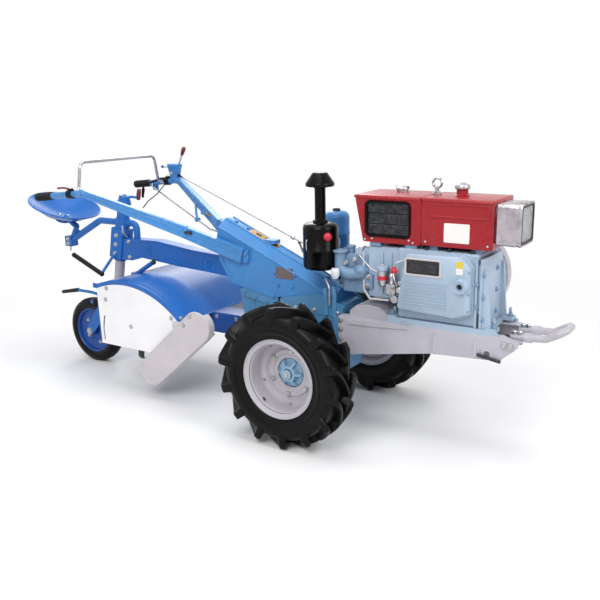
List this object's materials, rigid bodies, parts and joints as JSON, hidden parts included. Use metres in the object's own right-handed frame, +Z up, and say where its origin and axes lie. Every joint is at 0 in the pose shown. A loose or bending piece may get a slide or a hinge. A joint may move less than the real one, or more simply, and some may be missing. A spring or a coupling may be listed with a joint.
{
  "type": "power tiller",
  "caption": "Walking tractor with water-cooled engine, rear rotary tiller, raked tail-wheel column, long handlebars and a dished seat.",
  "frame": {"origin": "on the floor, at the middle of the overall length and width", "axes": "+X forwards to the engine and headlamp, +Y to the machine's left, +Z up"},
  "size_m": [3.0334, 0.9634, 1.2146],
  "materials": {
    "tyre_rubber": "matt",
    "rubber": "matt",
    "rim_paint": "satin, dusty",
    "blue_paint": "gloss",
    "grey_paint": "satin",
    "engine_paint": "satin",
    "red_paint": "gloss",
    "black_paint": "satin",
    "cream_paint": "satin",
    "guard_paint": "satin",
    "tine_steel": "dark, worn",
    "chrome": "polished",
    "bright_steel": "machined",
    "lens": "clear"
  },
  "bodies": {
    "tiller_frame": {"air_cleaner": "black_paint", "axle_housings": "blue_paint", "belt_guard": "blue_paint", "bumper": "grey_paint", "clutch_lever_box": "blue_paint", "column_sleeve": "blue_paint", "console": "blue_paint", "cross_members": "grey_paint", "cylinder_head": "engine_paint", "depth_rod": "blue_paint", "drive_belts": "rubber", "engine_bed": "engine_paint", "engine_block": "engine_paint", "foot_bar": "rubber", "fuel_cap": "bright_steel", "fuel_system": "bright_steel", "fuel_tank": "red_paint", "gear_cover": "engine_paint", "gearbox": "blue_paint", "grab_hoop": "chrome", "handle_grips": "rubber", "handlebar_left": "blue_paint", "handlebar_right": "blue_paint", "headlamp": "chrome", "headlamp_lens": "lens", "height_crank": "blue_paint", "lifting_eye": "bright_steel", "radiator_cap": "black_paint", "radiator_grille": "black_paint", "radiator_housing": "red_paint", "rail_left": "grey_paint", "rail_right": "grey_paint", "seat": "blue_paint", "seat_arm": "blue_paint", "side_cover_left": "cream_paint", "side_cover_right": "cream_paint", "silencer": "blue_paint", "soil_guard": "guard_paint", "tail_beam": "blue_paint", "throttle_cable": "rubber", "tiller_drive_case": "blue_paint", "tiller_hood": "blue_paint"},
    "drive_wheel_left": {"hub_left": "blue_paint", "rim_left": "rim_paint", "tyre_left": "tyre_rubber"},
    "drive_wheel_right": {"hub_right": "blue_paint", "rim_right": "rim_paint", "tyre_right": "tyre_rubber"},
    "engine_flywheel": {"flywheel": "engine_paint"},
    "input_pulley": {"clutch_pulley": "engine_paint"},
    "rotor": {"rotor_shaft": "tine_steel", "tines": "tine_steel"},
    "column_post": {"tail_post": "grey_paint"},
    "tail_swivel": {"tail_fork": "blue_paint"},
    "tail_wheel": {"tail_rim": "blue_paint", "tail_tyre": "tyre_rubber"},
    "levelling_flap": {"rear_flap": "blue_paint"},
    "prop_stand": {"front_stand": "black_paint"}
  },
  "joints": [
    {"name": "drive_wheel_left_spin", "type": "hinge", "parent": "tiller_frame", "child": "drive_wheel_left", "pos_m": [0.445, 0.4, 0.312], "axis": [0, 1, 0], "continuous": true},
    {"name": "drive_wheel_right_spin", "type": "hinge", "parent": "tiller_frame", "child": "drive_wheel_right", "pos_m": [0.445, -0.4, 0.312], "axis": [0, 1, 0], "continuous": true},
    {"name": "flywheel_spin", "type": "hinge", "parent": "tiller_frame", "child": "engine_flywheel", "pos_m": [1.009, 0.172, 0.711], "axis": [0, 1, 0], "continuous": true},
    {"name": "input_pulley_spin", "type": "hinge", "parent": "tiller_frame", "child": "input_pulley", "pos_m": [0.415, 0.24, 0.49], "axis": [0, 1, 0], "continuous": true},
    {"name": "rotor_spin", "type": "hinge", "parent": "tiller_frame", "child": "rotor", "pos_m": [-0.555, 0, 0.356], "axis": [0, 1, 0], "continuous": true},
    {"name": "tail_height", "type": "slide", "parent": "tiller_frame", "child": "column_post", "axis": [0.1908, 0, 0.9816], "range_m": [0, 0.1]},
    {"name": "tail_steer", "type": "hinge", "parent": "column_post", "child": "tail_swivel", "pos_m": [-0.948, 0, 0.43], "axis": [0.1908, 0, 0.9816], "range_deg": [-35, 35]},
    {"name": "tail_wheel_spin", "type": "hinge", "parent": "tail_swivel", "child": "tail_wheel", "pos_m": [-1.145, 0, 0.187], "axis": [0, 1, 0], "continuous": true},
    {"name": "rear_flap_lift", "type": "hinge", "parent": "tiller_frame", "child": "levelling_flap", "pos_m": [-0.797, 0, 0.54449], "axis": [0, 1, 0], "range_deg": [0, 15]},
    {"name": "front_stand_fold", "type": "hinge", "parent": "tiller_frame", "child": "prop_stand", "pos_m": [1.225, 0, 0.456], "axis": [0, -1, 0], "range_deg": [0, 95]}
  ],
  "couplings": [
    {"joint": "input_pulley_spin", "follows": "flywheel_spin", "ratio": 0.5965}
  ]
}
